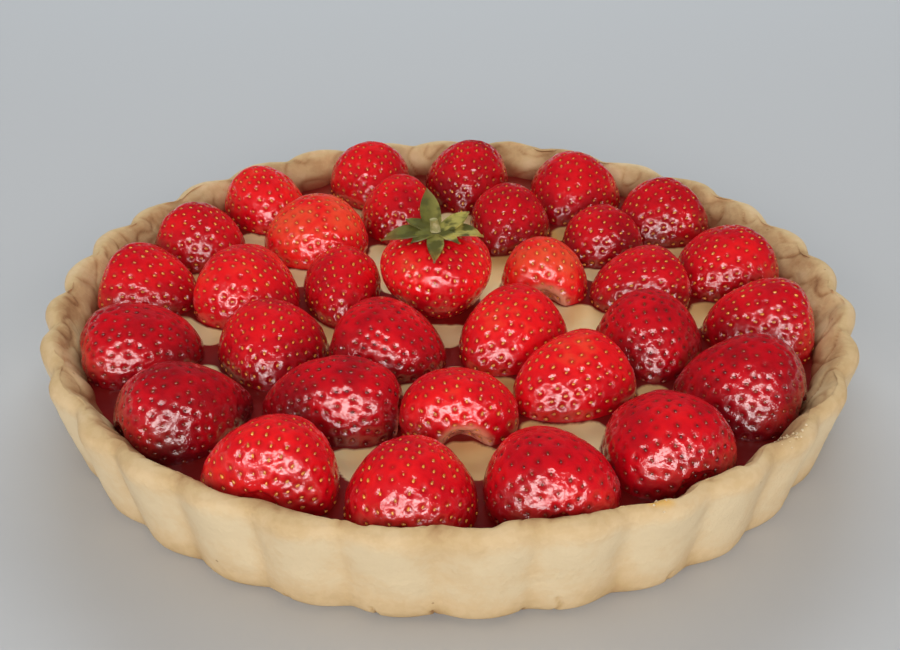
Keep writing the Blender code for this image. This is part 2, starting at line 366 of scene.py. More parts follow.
# Slow unevenness of the hand-pressed dough: (waves round the tart, phase, share).
PHASE_WANDER = (1, 0.75, 0.15)
INNER_SLOW_WAVES = ((5, 0.9, 0.35), (11, 2.0, 0.35))
RIM_SLOW_WAVES = ((4, 1.0, 0.45), (9, 0.4, 0.35))


def evenly(points, spacing):
    """Points along a polyline at an even spacing, keeping its corners."""
    result = [points[0]]
    for start, end in zip(points, points[1:]):
        count = max(1, round(math.dist(start, end) / spacing))
        across = np.array(end) - start
        result += [tuple(np.array(start) + across * step / count) for step in range(1, count + 1)]
    return result


def rounded(points, passes):
    """Softens the corners of a polyline: each inner point moves towards the middle of its neighbours."""
    points = np.array(points)
    for _ in range(passes):
        points[1:-1] = 0.5 * points[1:-1] + 0.25 * (points[:-2] + points[2:])
    return [tuple(point) for point in points]


def shell_profile():
    """(radius, height) points up the outside, over the lip and down to the floor of the well."""
    lip_inner = RIM_RADIUS - LIP_WIDTH
    visible = (
        (BASE_RADIUS - 1.6 * MM, 0.0),
        (BASE_RADIUS + 0.4 * MM, 1.6 * MM),
        (BASE_RADIUS + 0.48 * (RIM_RADIUS - BASE_RADIUS), 0.48 * SHELL_HEIGHT),
        (RIM_RADIUS - 0.6 * MM, 0.90 * SHELL_HEIGHT),
        (RIM_RADIUS - 1.6 * MM, 0.98 * SHELL_HEIGHT),
        (lip_inner + 1.6 * MM, SHELL_HEIGHT),
        (lip_inner, 0.94 * SHELL_HEIGHT),
        (lip_inner - 2.4 * MM, 0.83 * SHELL_HEIGHT),
        (WELL_RADIUS - SAG, CUSTARD_TOP + 1.0 * MM),
        (WELL_RADIUS - SAG, CUSTARD_TOP - 1.5 * MM),
    )
    wall = rounded(evenly(visible, ROW_SPACING), passes=6)
    hidden = ((WELL_FLOOR_RADIUS, FLOOR_THICKNESS), (0.0, FLOOR_THICKNESS))
    return [(0.0, 0.0)] + wall + list(hidden)


def angle_from_front(x, y):
    return np.arctan2(x, -y)


def waves(angle, *terms):
    return sum(share * np.sin(count * angle + phase) for count, phase, share in terms)


def flute_phase(angle):
    """Turns of the flute pattern at this angle; the pitch is slightly uneven, as in a worn tin."""
    return FLUTES * angle / math.tau + FRONT_PHASE + waves(angle, PHASE_WANDER)


def flute_lobe(angle):
    """1 on the crest of a flute and 0 in the crease between two, which is a soft valley."""
    wave = np.cos(math.pi * flute_phase(angle)) ** 2
    return (np.sqrt(wave + CREASE_SOFTNESS**2) - CREASE_SOFTNESS) / (
        math.sqrt(1 + CREASE_SOFTNESS**2) - CREASE_SOFTNESS
    )


def rim_lift(angle):
    """How far the rim rises above its plain height: most on the crests and at the front."""
    pressed = 0.7 * flute_lobe(angle) - 0.6 + waves(angle, *RIM_SLOW_WAVES)
    return RIM_WAVE * pressed + FRONT_LIFT * np.cos(angle)


def finger_dents(angle):
    """Dents that fingertips leave along the inside of the lip: 0 between them and 1 in their middle."""
    circle = RIM_RADIUS * np.stack([np.sin(angle), -np.cos(angle), np.zeros_like(angle)], axis=1)
    return smooth_step(rough_noise(circle, 11 * MM, 3), -0.05, 0.40)


# %% [markdown]
# Pushing the points is done with arrays: one line moves all of them. The outside gets the flutes, and
# the inner edge of the lip gets the finger pockets.

# %% Shape the shell
def flute_the_shell(points):
    """Moves the spun points onto flutes outside and finger pockets inside."""
    x, y, z = points.T
    radius = np.hypot(x, y)
    angle = angle_from_front(x, y)
    lobe = flute_lobe(angle)
    up = z / SHELL_HEIGHT
    outer_here = BASE_RADIUS + (RIM_RADIUS - BASE_RADIUS) * up
    outside = 1 - smooth_step(outer_here - radius, 0.45 * LIP_WIDTH, 0.75 * LIP_WIDTH)
    outside *= radius > WELL_FLOOR_RADIUS
    depth = FLUTE_DEPTH_BASE + (FLUTE_DEPTH_RIM - FLUTE_DEPTH_BASE) * up
    share = np.clip((z - CUSTARD_TOP) / (SHELL_HEIGHT - CUSTARD_TOP), 0, 1)
    pressed = 1.4 * lobe - 0.9 + waves(angle, *INNER_SLOW_WAVES)
    in_wall = radius > WELL_FLOOR_RADIUS
    inner_lip = (1 - outside) * share * in_wall
    dents = finger_dents(angle)
    moved = radius - outside * depth * (1 - lobe) + inner_lip * (INNER_WAVE * pressed + DENT_WIDTH * dents)
    lifted = z + share**2 * rim_lift(angle) * in_wall - DENT_DEPTH * inner_lip * dents
    return np.stack([moved * np.sin(angle), -moved * np.cos(angle), lifted], axis=1)


crust_mesh = spin_profile("crust_shell", shell_profile(), FLUTES * COLUMNS_PER_FLUTE)
crust_points = flute_the_shell(points_of(crust_mesh))
move_points(crust_mesh, crust_points)
print("shell:", len(crust_mesh.polygons), "faces")

# %% [markdown]
# Baked shortcrust is never smooth. Three sizes of noise push each point along its normal: soft hollows of
# two to three centimetres, lumps of about eight millimetres, and crumbs of about two. Inside the rim come
# pinches and little folds, and short cracks open at the foot. The underside stays flat, for standing on.

# %% Dough relief, browning and painted shade
LUMPS = ((24 * MM, 0.55 * MM), (8 * MM, 0.32 * MM), (2.2 * MM, 0.10 * MM))  # size, depth
PINCH_SIZE = 10 * MM
PINCH_DEPTH = 0.7 * MM
FOLD_SIZE = 8 * MM
FOLD_DEPTH = 0.45 * MM
# Each crack: degrees from the front, height in millimetres.
CRACKS = ((-9.5, 4.5), (-2.0, 3.5), (9.0, 3.0), (13.5, 7.0), (29.0, 5.5), (-21.0, 3.0))
CRACK_WIDTH = 0.55 * MM
CRACK_DEPTH = 0.5 * MM
YOLK_ANGLE = 25.5  # degrees from the front
YOLK_SIZE = np.array((4.2, 2.2, 2.5)) * MM
SOAK_HEIGHT = 6 * MM


def inner_share(points):
    """0 on the outer wall and 1 inside the lip."""
    outer_here = BASE_RADIUS + (RIM_RADIUS - BASE_RADIUS) * points[:, 2] / SHELL_HEIGHT
    return smooth_step(outer_here - np.hypot(points[:, 0], points[:, 1]), 0.35 * LIP_WIDTH, 1.1 * LIP_WIDTH)


def folds(points):
    """Sharp little creases where the dough was folded over the rim: 1 in a crease."""
    return np.clip(1 - 5 * np.abs(rough_noise(points, FOLD_SIZE, 12)), 0, 1) ** 2


def foot_cracks(points):
    """1 in the short splits at the foot, where the dough dried."""
    angle = angle_from_front(points[:, 0], points[:, 1])
    depth = np.zeros(len(points))
    for turn, height in CRACKS:
        wander = 0.5 * MM * np.sin(points[:, 2] / (0.9 * MM) + turn)
        aside = (angle - math.radians(turn)) * BASE_RADIUS + wander
        depth = np.maximum(depth, np.exp(-((aside / CRACK_WIDTH) ** 2)) * (points[:, 2] < height * MM))
    return depth


def dough_relief(points, normals):
    """The points, pushed along their normals by lumps, pinches, folds and cracks."""
    push = sum(depth * rough_noise(points, size, seed) for seed, (size, depth) in enumerate(LUMPS))
    inside = inner_share(points) * (points[:, 2] > CUSTARD_TOP)
    push += inside * (PINCH_DEPTH * rough_noise(points, PINCH_SIZE, 15) - FOLD_DEPTH * folds(points))
    standing = smooth_step(points[:, 2], 0.0, 2.5 * MM)
    push = push * standing - CRACK_DEPTH * foot_cracks(points)
    return points + normals * push[:, None]


def browning_and_shade(points):
    """Baked browning at the foot, and painted shade inside the rim, in creases and cracks and on top; least
    on the outer wall.
    """
    x, y, z = points.T
    angle = angle_from_front(x, y)
    lobe = flute_lobe(angle)
    inward = inner_share(points)
    foot = 1 - smooth_step(z, 0.5 * MM, 13 * MM)
    deep = 1 - smooth_step(z, CUSTARD_TOP, CUSTARD_TOP + 7 * MM)
    crease = (1 - lobe) ** 3 * (1 - inward)
    cloud = rough_noise(points, 14 * MM, 5)
    creases = folds(points) * inward + foot_cracks(points)
    on_top = smooth_step(z, 0.74 * SHELL_HEIGHT, SHELL_HEIGHT)
    # Besides browning at the foot, this paints shade: darker inside the rim, deep in the well, in creases,
    # folds, dents and cracks, and on top.
    amount = 0.44 * foot + 0.30 * inward + 0.45 * inward * deep + 0.14 * crease + 0.38 * on_top
    amount += inward * (0.16 * finger_dents(angle) + 0.14 * lobe**2) + 0.35 * creases
    return np.clip(amount + 0.16 * cloud * (0.5 + inward), 0, 1)


def spot_on_lip(angle, radius):
    """A place on top of the lip, from an angle in degrees and a radius in metres."""
    turn = math.radians(angle)
    return np.array((radius * math.sin(turn), -radius * math.cos(turn), SHELL_HEIGHT))


def yolk_smear(points):
    """1 in the middle of the yolk smear, fading out with a ragged edge."""
    from_middle = (points - spot_on_lip(YOLK_ANGLE, RIM_RADIUS - 4.5 * MM)) / YOLK_SIZE
    ragged = from_middle + 0.3 * rough_noise(points, 2 * MM, 21)[:, None]
    return smooth_step(np.exp(-(ragged**2).sum(axis=1)), 0.25, 0.9)


def soaked_and_shaded_share(points):
    """1 just above the custard on the inner wall: syrup soaked in there, and painted shade."""
    height = points[:, 2] - CUSTARD_TOP + 1.5 * MM * rough_noise(points, 6 * MM, 8)
    return (1 - smooth_step(height, 0.0, SOAK_HEIGHT)) * inner_share(points)


crust_points = dough_relief(crust_points, normals_of(crust_mesh))
move_points(crust_mesh, crust_points)
for name, measure in (("browned_and_shaded", browning_and_shade), ("yolk", yolk_smear), ("soaked_and_shaded", soaked_and_shaded_share)):
    shares = measure(crust_points)
    paint(crust_mesh, name, shares)
    print(f"{name}: {shares.mean():.2f} on average")

# %% [markdown]
# ## Shortcrust finish
# The dough is matt and pale gold. The painted number for browning and painted shade picks its colour
# from a scale that runs from cream to toast: the foot is baked browner, and shade is painted inside the
# rim, deep in the well, in creases and cracks and on the lip's top. Cloudy patches keep it from looking
# even, small dark pits are scattered over it, and a fine grain gives the surface its crumb. Dark red is
# painted at the foot of the inner wall, for syrup soaked in and for the shade there, and one smear of egg
# yolk has dried on the lip.

# %% Shortcrust material
shortcrust, tree, shader = new_material("shortcrust", Roughness=0.82)
shader.inputs["Specular IOR Level"].default_value = 0.25
spot = object_spot(tree)
cloudy = mottle(tree, spot, 55.0, 0.18)
specks = mottle(tree, spot, 420.0, 0.07)
# The painted number is browning and painted shade together.
baked_and_shaded = calculate(tree, "ADD", calculate(tree, "ADD", painted(tree, "browned_and_shaded"), cloudy), specks)
dough_colour = colour_ramp(
    tree,
    baked_and_shaded,
    (
        (0.0, rgb(0.73, 0.585, 0.375)),
        (0.25, rgb(0.69, 0.51, 0.295)),
        (0.5, rgb(0.60, 0.42, 0.215)),
        (0.75, rgb(0.45, 0.27, 0.125)),
        (1.0, rgb(0.27, 0.13, 0.055)),
    ),
)
cells = place(tree, "ShaderNodeTexVoronoi", {"feature": "F1"}, Vector=spot, Scale=260.0)
cell_draw = place(tree, "ShaderNodeSeparateColor", Color=cells.outputs["Color"]).outputs[0]
rare = calculate(tree, "GREATER_THAN", cell_draw, 0.93)  # one cell in fourteen has a pit
near = calculate(tree, "LESS_THAN", cells.outputs["Distance"], 0.12)
pit = calculate(tree, "MULTIPLY", rare, near)
marks = (  # share, colour
    (calculate(tree, "MULTIPLY", pit, 0.55), rgb(0.30, 0.15, 0.06)),
    (calculate(tree, "MULTIPLY", painted(tree, "yolk"), 0.6), rgb(0.80, 0.42, 0.05)),
    # painted shade and soaked syrup: dark red at the foot of the inner wall
    (calculate(tree, "MULTIPLY", painted(tree, "soaked_and_shaded"), 0.8), rgb(0.24, 0.03, 0.012)),
)
for share, colour in marks:
    dough_colour = mix_colours(tree, share, dough_colour, colour)
tree.links.new(dough_colour, shader.inputs["Base Color"])
crumb = calculate(tree, "SUBTRACT", grain(tree, spot, 900.0), calculate(tree, "MULTIPLY", pit, 1.2))
bump(tree, shader, crumb, 0.75, 0.28 * MM)

finish_piece("crust_shell", crust_mesh, shortcrust, ["crust"], sharp_angle=80)

# %% [markdown]
# ## Growing a berry from its construction solid
# A strawberry half lies on its cut face: a tapering dome, sometimes with a scoop where the hull was cut
# out. The construction solid has few faces. Its copy is merged, the cut face is opened and the triangles
# are joined to quads. Subdividing rounds it, but every pass also pulls the skin inside the solid's points
# and would shorten the tip. So the coarse points are first pushed outwards, by as much as the skin falls
# short of them, and the finished skin passes through the points of the solid.

# %% Fine, round copies of the berry solids
FIT_PASSES = 4
FINE_LEVELS = 4
CUT_SLACK = 0.05 * MM  # this near the lowest level, a point or face is part of the cut face


def merged_copy(node):
    """A bmesh of the construction solid, with its doubled points joined."""
    bm = bmesh.new()
    bm.from_mesh(frame["nodes"][node].data)
    bmesh.ops.remove_doubles(bm, verts=bm.verts, dist=0.01 * MM)
    return bm


def cut_face_off(bm, level):
    """Opens the solid at its flat underside."""
    low = [face for face in bm.faces if face.calc_center_median().z < level + CUT_SLACK]
    bmesh.ops.delete(bm, geom=[face for face in low if face.normal.z < -0.9], context="FACES")


def subdivided(mesh, levels):
    """A new mesh with the Subdivision Surface modifier applied."""
    draft = bpy.data.objects.new("draft", mesh)
    bpy.context.scene.collection.objects.link(draft)
    modifier = draft.modifiers.new("Round", "SUBSURF")
    modifier.levels = levels
    modifier.render_levels = levels
    graph = bpy.context.evaluated_depsgraph_get()
    fine_mesh = bpy.data.meshes.new_from_object(draft.evaluated_get(graph))
    bpy.data.objects.remove(draft, do_unlink=True)
    return fine_mesh


def round_berry(node):
    """A fine skin through the points of the construction solid, open at its underside."""
    bm = merged_copy(node)
    cut_face_off(bm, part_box(node)[0].z)
    bmesh.ops.join_triangles(
        bm,
        faces=bm.faces,
        angle_face_threshold=math.radians(50),
        angle_shape_threshold=math.radians(60),
    )
    cage = mesh_from(bm, node)
    wanted = points_of(cage)
    for _ in range(FIT_PASSES):
        trial = subdivided(cage, 1)
        move_points(cage, points_of(cage) + wanted - points_of(trial)[: len(wanted)])
        bpy.data.meshes.remove(trial)
    skin = subdivided(cage, FINE_LEVELS)
    bpy.data.meshes.remove(cage)
    skin.name = node
    return skin


# %% [markdown]
# ## The berry's own axis
# Seeds and colour follow the berry's axis, from the hulled end to the tip. On the construction solid the
# lines of the dome meet at two points, one at each end, and these poles are the points that share the
# most faces. A berry is widest near the hull, so the tip is the pole farther from the middle of its skin.
# The crown berry stands upright: its axis points down.

# %% Axis of a berry
def berry_axis(node):
    """(start at the hulled end, end at the tip) of a berry, from its construction solid."""
    low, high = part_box(node)
    if node == "berry_crown":
        middle = (low + high) / 2
        return Vector((middle.x, middle.y, high.z)), Vector((middle.x, middle.y, low.z))
    bm = merged_copy(node)
    cut_face_off(bm, low.z)
    most_faces = sorted(bm.verts, key=lambda vert: -len(vert.link_faces))
    poles = [vert.co.copy() for vert in most_faces[:2]]
    area = sum(face.calc_area() for face in bm.faces)
    middle = sum((face.calc_center_median() * face.calc_area() for face in bm.faces), Vector()) / area
    start, tip = sorted(poles, key=lambda pole: (pole - middle).length)
    bm.free()
    return start, tip


# %% [markdown]
# ## Where the seeds sit
# Seeds cover the whole skin at an even but never regular spacing of about three millimetres. A simple
# rule gives just that: take a first point at random, then again and again the point that is farthest from
# all the seeds so far, until no place is farther than the spacing.

# %% Seed places
SEED_SPACING = 2.75 * MM
SPACING_JITTER = 0.12
LOWEST_SEED = 0.9 * MM  # above the cut face


def seed_places(mesh, node, rng):
    """(place, outward normal, direction to the tip) of every seed on a berry."""
    start, end = berry_axis(node)
    axis = (end - start).normalized()
    points, normals = points_of(mesh), normals_of(mesh)
    spots = np.flatnonzero(points[:, 2] > points[:, 2].min() + LOWEST_SEED)
    jitter = 1 + SPACING_JITTER * rng.standard_normal(len(spots))
    chosen = [rng.choice(spots)]
    away = np.linalg.norm(points[spots] - points[chosen[0]], axis=1)
    while away.max() > SEED_SPACING:
        chosen.append(spots[np.argmax(np.where(away > SEED_SPACING, away * jitter, 0))])
        away = np.minimum(away, np.linalg.norm(points[spots] - points[chosen[-1]], axis=1))
    return [(Vector(points[index]), Vector(normals[index]), axis) for index in chosen]


# %% [markdown]
# ## Dimples, colour and the hull scoop
# Each seed lies at the bottom of a shallow dimple, and the skin between dimples bulges. This net of
# ridges is what breaks up the shine on a glazed strawberry. Three numbers are painted on the points:
# `tone` (dark crimson to orange-red, with painted shade that darkens it towards the custard), `dimple`,
# which also paints shade into the dimples, and `flesh`, which is the pale inside of the scoop.

# %% Press the dimples and paint the skin
DIMPLE_RADIUS = 1.5 * MM
DIMPLE_DEPTH = 0.48 * MM
TUCK = 0.5 * MM  # how far a berry's side curves in where it meets the custard


def dimple_share(points, places):
    """1 at a seed and 0 beyond the dimple's edge, for each point."""
    distance = distance_to([place for place, _, _ in places], points)
    return np.clip(1 - (distance / DIMPLE_RADIUS) ** 2, 0, 1) ** 2


def pressed_skin(points, normals, dimple, seed):
    """The points with dimples and low lumps, and with the side tucked in at the custard."""
    height = points[:, 2] - points[:, 2].min()
    above = smooth_step(height, 0.1 * MM, 1.5 * MM)
    lumps = 0.30 * MM * rough_noise(points, 7 * MM, seed) + 0.14 * MM * rough_noise(points, 2.8 * MM, seed)
    push = (lumps - DIMPLE_DEPTH * dimple) * above
    tuck = TUCK * (1 - smooth_step(height, 0.0, 4.0 * MM))
    return points + normals * push[:, None] - normals * (1, 1, 0) * tuck[:, None]


def tone_and_shade_of_skin(points, tone, seed):
    """The berry's own tone, a little uneven, with painted shade: darker towards the custard, lighter on
    top.
    """
    height = points[:, 2] - points[:, 2].min()
    raised = smooth_step(height, 0.0, 0.8 * height.max())
    # Painted shade: the skin is darker low on the berry and lighter on top.
    return tone + 0.20 * rough_noise(points, 13 * MM, seed + 0.5) + 0.30 * (raised - 0.62)


def flesh_share(points, node):
    """1 in the middle of the hull scoop. The crown berry and the outer ring show none."""
    if node == "berry_crown" or "outer" in node:
        return np.zeros(len(points))
    start, end = berry_axis(node)
    axis = np.array((end - start).normalized())
    along = (points - np.array(start)) @ axis
    off_axis = np.linalg.norm(points - np.array(start) - along[:, None] * axis, axis=1)
    share = along / (end - start).length
    width = off_axis.max()
    return (1 - smooth_step(off_axis, 0.34 * width, 0.52 * width)) * (1 - smooth_step(share, 0.22, 0.30))


def close_underside(mesh):
    bm = bmesh.new()
    bm.from_mesh(mesh)
    bmesh.ops.holes_fill(bm, edges=[edge for edge in bm.edges if edge.is_boundary], sides=0)
    bm.to_mesh(mesh)
    bm.free()


def dress_skin(mesh, node, places, tone, seed):
    """Presses dimples into the skin, closes the underside and paints tone (with painted shade), dimple and
    flesh.
    """
    points, normals = points_of(mesh), normals_of(mesh)
    dimple = dimple_share(points, places)
    move_points(mesh, pressed_skin(points, normals, dimple, seed))
    close_underside(mesh)
    paint(mesh, "tone", tone_and_shade_of_skin(points, tone, seed))
    paint(mesh, "dimple", dimple)
    paint(mesh, "flesh", flesh_share(points, node))


# %% [markdown]
# ## Glazed skin
# Under a clear glaze the skin is deep red and slightly see-through, so light spreads below it. The clear
# coat gives the sharp window-like shine, and fine waves of its own break that shine into glints. Tone,
# with its painted shade low on the berry, picks the red, the dimples are painted darker as shade, and
# the scoop is pale pink.

# %% Strawberry material
strawberry, tree, shader = new_material(
    "glazed_strawberry", Roughness=0.40, Coat_Weight=1.0, Coat_Roughness=0.06, Coat_IOR=1.68
)
shader.inputs["Specular IOR Level"].default_value = 0.25
shader.inputs["Subsurface Weight"].default_value = 0.2
shader.inputs["Subsurface Radius"].default_value = (1.0, 0.10, 0.06)
shader.inputs["Subsurface Scale"].default_value = 2.5 * MM
spot = object_spot(tree)
streaks = mottle(tree, spot, 170.0, 0.10)
skin = colour_ramp(
    tree,
    calculate(tree, "ADD", painted(tree, "tone"), streaks),
    (
        (0.0, rgb(0.13, 0.0004, 0.004)),
        (0.25, rgb(0.34, 0.0006, 0.006)),
        (0.5, rgb(0.66, 0.001, 0.009)),
        (0.75, rgb(0.92, 0.008, 0.011)),
        (1.0, rgb(0.95, 0.10, 0.035)),
    ),
)
# Painted shade: the dimples are coloured darker.
dimple_shade = calculate(tree, "MULTIPLY", painted(tree, "dimple"), 0.45)
skin = mix_colours(tree, dimple_shade, skin, rgb(0.16, 0.001, 0.002))
skin = mix_colours(tree, painted(tree, "flesh"), skin, rgb(0.78, 0.30, 0.20))
tree.links.new(skin, shader.inputs["Base Color"])
bump(tree, shader, grain(tree, spot, 420.0, 1.5), 0.5, 0.16 * MM)
bump(tree, shader, grain(tree, spot, 620.0, 2.5), 0.8, 0.60 * MM, layer="Coat Normal")

# %% [markdown]
# ## Tones and seeds, berry by berry
# No two berries ripen alike. A short list gives each one its tone, from 0 (dark crimson) to 1
# (orange-red), and another says whose seeds are dark. The rings run anticlockwise as seen from above,
# from the front.

# %% Grow every berry
OUTER_TONES = (0.56, 0.48, 0.40, 0.38, 0.24, 0.42, 0.40, 0.34)
OUTER_TONES += (0.44, 0.36, 0.46, 0.66, 0.40, 0.46, 0.30, 0.26)
MIDDLE_TONES = (0.30, 0.56, 0.60, 0.36, 0.40, 0.30, 0.32, 0.44, 0.76, 0.58, 0.42)
INNER_TONES = (0.36, 0.60, 0.76, 0.44, 0.45)
DARK_SEEDED = ("outer_03", "outer_04", "outer_05", "outer_15", "outer_16")
DARK_SEEDED += ("middle_01", "middle_04", "inner_01")
tones = {"berry_crown": 0.58}
for ring, ring_tones in (("outer", OUTER_TONES), ("middle", MIDDLE_TONES), ("inner", INNER_TONES)):
    for number, tone in enumerate(ring_tones, start=1):
        tones[f"berry_{ring}_{number:02d}"] = tone

rng = np.random.default_rng(11)
seeds = {"golden": [], "dark": []}
rims = []  # points of every berry's outline on the custard
for index, node in enumerate(BERRIES):
    mesh = round_berry(node)
    floor_points = points_of(mesh)
    rims.append(floor_points[floor_points[:, 2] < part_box(node)[0].z + CUT_SLACK])
    places = seed_places(mesh, node, rng)
    dress_skin(mesh, node, places, tones[node], seed=index)
    finish_piece(node.replace("berry", "strawberry"), mesh, strawberry, [node])
    seeds["dark" if node.removeprefix("berry_") in DARK_SEEDED else "golden"] += places
print("seeds:", {kind: len(places) for kind, places in seeds.items()})
berry_faces = [len(o.data.polygons) for o in bpy.data.objects if o.name.startswith("strawberry")]
print("largest berry:", max(berry_faces), "faces")

# %% [markdown]
# ## Seeds
# A strawberry's seeds are tiny hard fruits shaped like a drop. One drop is modelled, and it is copied to
# every place with the point towards the tip of its berry. All seeds of a kind are one mesh, because
# thousands of objects would be slow.

# %% Seeds
SEED_LENGTH = 1.3 * MM
SEED_RISE = 0.05 * MM  # how far a seed's middle lies above the bottom of its dimple


def drop_template():
    """A low drop shape along +X with its middle at the origin."""
    bm = bmesh.new()
    bmesh.ops.create_icosphere(bm, subdivisions=1, radius=0.5)
    for vert in bm.verts:
        taper = 1 - 0.55 * (vert.co.x + 0.5)
        vert.co.y *= 0.68 * taper + 0.10
        vert.co.z *= 0.45 * taper + 0.10
    bmesh.ops.scale(bm, vec=(SEED_LENGTH,) * 3, verts=bm.verts)
    return bm


def scatter(name, template, matrices):
    """One mesh with a copy of the template at each matrix."""
    template.verts.ensure_lookup_table()
    corners = np.array([vert.co for vert in template.verts])
    faces = np.array([[vert.index for vert in face.verts] for face in template.faces])
    turned = [corners @ np.array(m.to_3x3()).T + np.array(m.translation) for m in matrices]
    indices = [faces + len(corners) * copy for copy in range(len(matrices))]
    mesh = bpy.data.meshes.new(name)
    mesh.from_pydata(np.concatenate(turned).tolist(), [], np.concatenate(indices).tolist())
    mesh.update()
    return mesh


def seed_matrix(place, normal, to_tip, size):
    """Turns and moves a seed to the bottom of its dimple, with its point towards the tip."""
    along = (to_tip - normal * to_tip.dot(normal)).normalized()
    across = normal.cross(along)
    turn = Matrix((along, across, normal)).transposed().to_4x4()
    return Matrix.Translation(place - normal * (DIMPLE_DEPTH - SEED_RISE)) @ turn @ Matrix.Scale(size, 4)


seed_colours = {"golden": rgb(0.84, 0.37, 0.05), "dark": rgb(0.13, 0.012, 0.008)}
seed_shades = {"golden": rgb(0.62, 0.22, 0.03), "dark": rgb(0.30, 0.05, 0.01)}
for kind, places in seeds.items():
    finish, tree, shader = new_material(
        f"seed_{kind}", Roughness=0.35, Coat_Weight=1.0, Coat_Roughness=0.06
    )
    spot = object_spot(tree)
    tint = mix_colours(tree, patches(tree, spot, 300.0), seed_colours[kind], seed_shades[kind])
    tree.links.new(tint, shader.inputs["Base Color"])
    matrices = [seed_matrix(*seed, size=rng.uniform(0.85, 1.12)) for seed in places]
    template = drop_template()
    finish_piece(f"seeds_{kind}", scatter(f"seeds_{kind}", template, matrices), finish)
    template.free()

# %% [markdown]
# ## Custard
# The custard fills the shell to ten millimetres below the rim. Its skin is nearly level, with a soft
# swell, and it climbs a little where it meets the wall and each berry. It is spun as a disc with many
# rings. The distance from each point to the nearest berry outline then lifts the points. Every channel
# too narrow for a small disc is raised a little and painted dark red, for syrup from the berries and for
# painted shade between them, and only the wider pockets stay cream-coloured.

# %% Custard
RING_SPACING = 0.95 * MM
CUSTARD_COLUMNS = 480
POCKET_RADIUS = 3.2 * MM
POCKET_FROM_WALL = 16 * MM
SWELLS = ((22 * MM, 0.25 * MM, 9), (5 * MM, 0.10 * MM, 10))  # size, height, noise seed
CLIMB_REACH = 3 * MM
CLIMB_AT_BERRY = 0.35 * MM
CLIMB_AT_WALL = 0.8 * MM
SYRUP_DEPTH = 0.3 * MM


def custard_profile():
    """(radius, height) points along the underside, up the wall and back over the top."""
    edge = WELL_RADIUS + 0.5 * MM
    bottom = FLOOR_THICKNESS + 0.3 * MM
    top = [(radius, CUSTARD_TOP) for radius in np.arange(0.0, edge, RING_SPACING)] + [(edge, CUSTARD_TOP)]
    return [(0.0, bottom), (WELL_FLOOR_RADIUS, bottom)] + top[::-1]


def covered(points):
    """True where a berry lies over the point."""
    corners, faces = [], []
    for node in BERRIES:
        solid = frame["nodes"][node].data
        faces += [[index + len(corners) for index in face.vertices] for face in solid.polygons]
        corners += [vert.co for vert in solid.vertices]
    tree = BVHTree.FromPolygons(corners, faces)
    return np.array([tree.ray_cast(Vector(point), Vector((0, 0, 1)))[0] is not None for point in points])


def open_pockets(points, gap, to_wall):
    """1 in the wide pockets between berries, and 0 in the narrow channels, painted as syrup and shade."""
    centres = points[(gap > POCKET_RADIUS) & (to_wall > POCKET_FROM_WALL) & ~covered(points)]
    return 1 - smooth_step(distance_to(centres, points), POCKET_RADIUS - 0.8 * MM, POCKET_RADIUS + 0.9 * MM)


custard_mesh = spin_profile("custard_filling", custard_profile(), CUSTARD_COLUMNS)
points = points_of(custard_mesh)
surface = points[:, 2] > CUSTARD_TOP - 0.1 * MM
gap = distance_to(np.concatenate(rims), points)
to_wall = WELL_RADIUS - np.hypot(points[:, 0], points[:, 1])
# Painted shade and syrup: dark red in the narrow channels between berries.
syrup_and_shade = np.zeros(len(points))
syrup_and_shade[surface] = 1 - open_pockets(points[surface], gap[surface], to_wall[surface])
swell = sum(height * rough_noise(points, size, seed) for size, height, seed in SWELLS)
climb = CLIMB_AT_BERRY * np.exp(-((gap / CLIMB_REACH) ** 2))
climb += CLIMB_AT_WALL * np.exp(-np.clip(to_wall, 0, None) / CLIMB_REACH)
points[:, 2] += surface * (swell + climb + SYRUP_DEPTH * syrup_and_shade)
move_points(custard_mesh, points)
paint(custard_mesh, "syrup_and_shade", syrup_and_shade)
print("custard:", len(custard_mesh.polygons), "faces")
print(f"{1 - syrup_and_shade[surface].mean():.0%} of its top is clear of syrup")

# %% [markdown]
# ## Custard finish
# The custard has a satin skin, cream with ochre clouds, and light spreads a little below it. Where the
# painted number for syrup and shade is high, it turns dark red, as syrup and as painted shade between
# the berries, with an uneven edge.

# %% Custard material
custard, tree, shader = new_material("custard", Roughness=0.45, Coat_Weight=0.3, Coat_Roughness=0.15)
shader.inputs["Subsurface Weight"].default_value = 0.10
shader.inputs["Subsurface Radius"].default_value = (1.0, 0.6, 0.3)
shader.inputs["Subsurface Scale"].default_value = 2.0 * MM
spot = object_spot(tree)
clouds = patches(tree, spot, 45.0, 0.35, 0.65)
cream = mix_colours(tree, clouds, rgb(0.97, 0.81, 0.45), rgb(0.92, 0.66, 0.29))
ochre = mix_colours(tree, patches(tree, spot, 16.0, 0.56, 0.70), cream, rgb(0.62, 0.33, 0.08))
syrup_and_shade_here = painted(tree, "syrup_and_shade")
uneven = calculate(tree, "MULTIPLY", mottle(tree, spot, 140.0, 0.3, 0.3, 0.7), syrup_and_shade_here)
covering = calculate(tree, "ADD", syrup_and_shade_here, uneven)
syrup_and_shade_cover = colour_ramp(tree, covering, ((0.15, rgb(0, 0, 0)), (0.7, rgb(1, 1, 1))))
# Painted shade and syrup: dark red between the berries.
tree.links.new(mix_colours(tree, syrup_and_shade_cover, ochre, rgb(0.20, 0.004, 0.003)), shader.inputs["Base Color"])
bump(tree, shader, grain(tree, spot, 350.0, 1.0), 0.35, 0.25 * MM)
finish_piece("custard_filling", custard_mesh, custard, ["custard"], sharp_angle=40)

